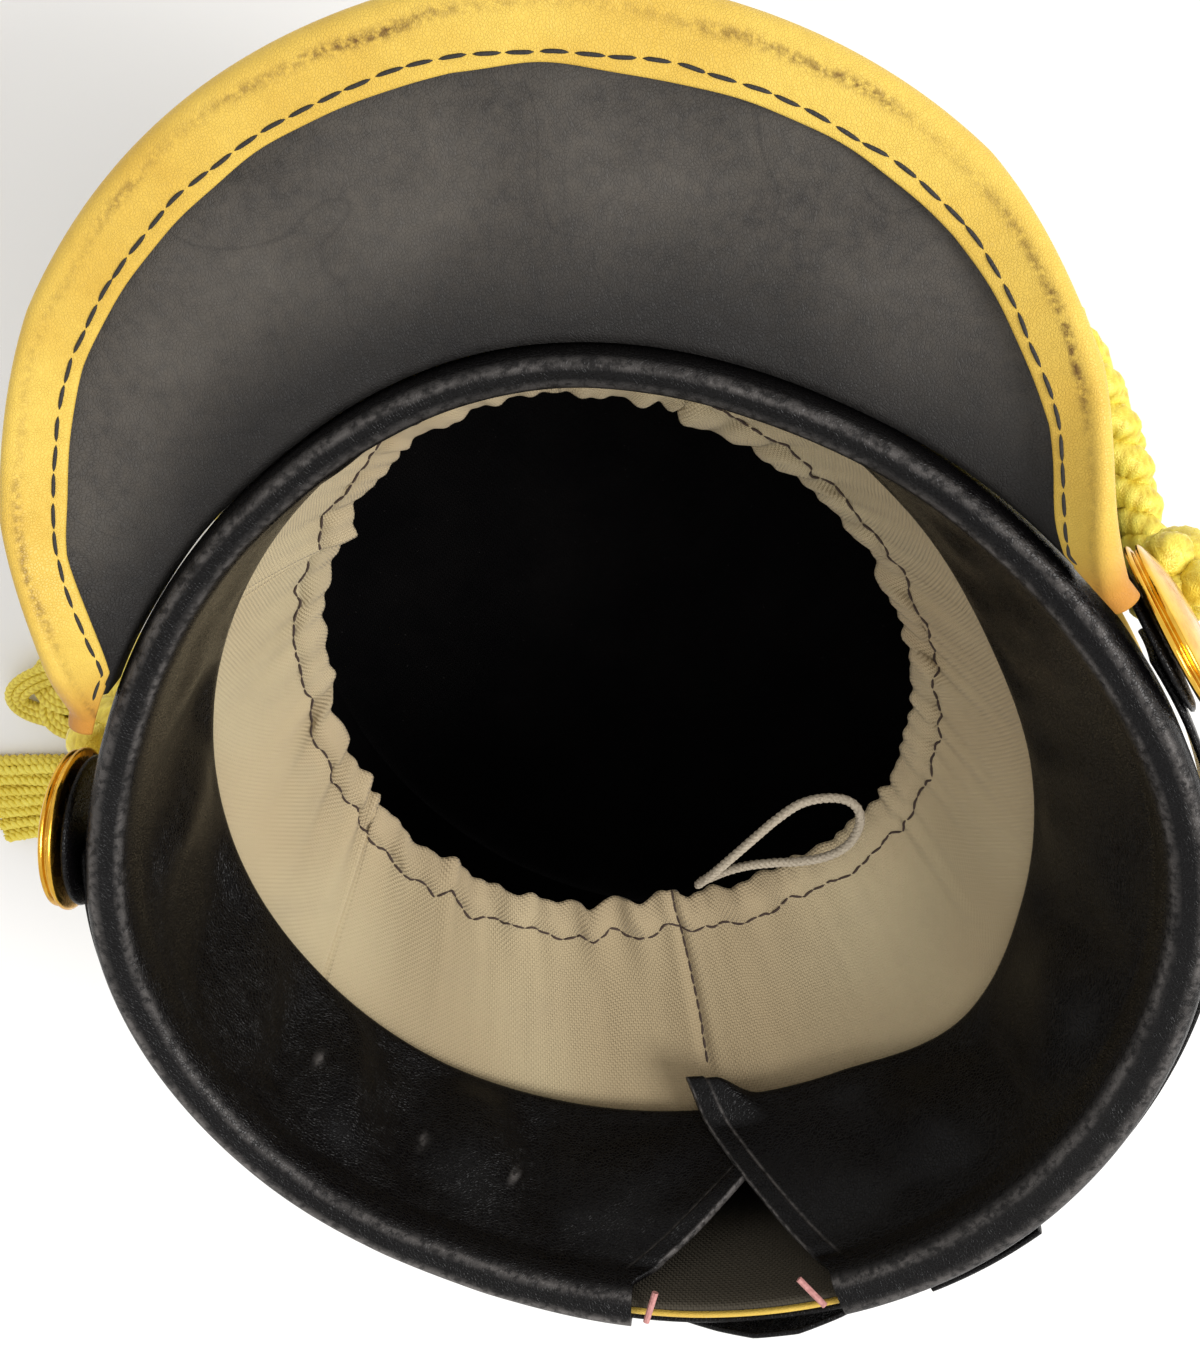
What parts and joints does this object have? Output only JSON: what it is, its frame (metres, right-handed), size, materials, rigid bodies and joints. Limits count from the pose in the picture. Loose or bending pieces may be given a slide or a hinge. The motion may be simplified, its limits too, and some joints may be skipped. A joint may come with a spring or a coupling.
{
  "type": "shako hat",
  "caption": "stiff cylindrical black shako resting crown down, gathered lining and sweatband inside, gold bound visor, side buttons, chin strap, plaited cord, flounder and tassel",
  "frame": {"origin": "centre of the crown's flat outside, on the surface that the hat rests on", "axes": "+Z out of the head opening, -Y to the front where the visor is, +X to the wearer's right"},
  "size_m": [0.3026, 0.2415, 0.1544],
  "materials": {
    "black_cloth": "matt black cloth on a stiff body",
    "gold_vinyl": "yellow gold vinyl, fine grain, soft sheen, dark smudges",
    "charcoal_vinyl": "matt charcoal leatherette, mottled, faint creases",
    "black_vinyl": "black leatherette with a soft shine, worn along the roll",
    "cotton": "greige plain cotton, brown thread",
    "reed": "pale pink core",
    "gold_metal": "polished gold coloured metal",
    "gold_cord": "bright yellow gold knitted and twisted cord"
  },
  "bodies": {
    "root": {"crown_top": "black_cloth", "shell_wall": "black_cloth", "base_band": "gold_vinyl", "visor": "charcoal_vinyl", "visor_binding": "gold_vinyl", "sweatband": "black_vinyl", "lining": "cotton", "reed_end_right": "reed", "reed_end_left": "reed", "drawstring": "cotton", "washer_right": "black_vinyl", "button_right": "gold_metal", "washer_left": "black_vinyl", "button_left": "gold_metal", "chin_strap": "black_vinyl", "strap_buckle": "black_vinyl", "strap_keeper": "black_vinyl", "front_braid": "gold_cord", "flounder_cord": "gold_cord", "tassel_cord": "gold_cord", "flounder": "gold_cord", "tassel_head": "gold_cord", "tassel_fringe": "gold_cord"}
  },
  "joints": []
}
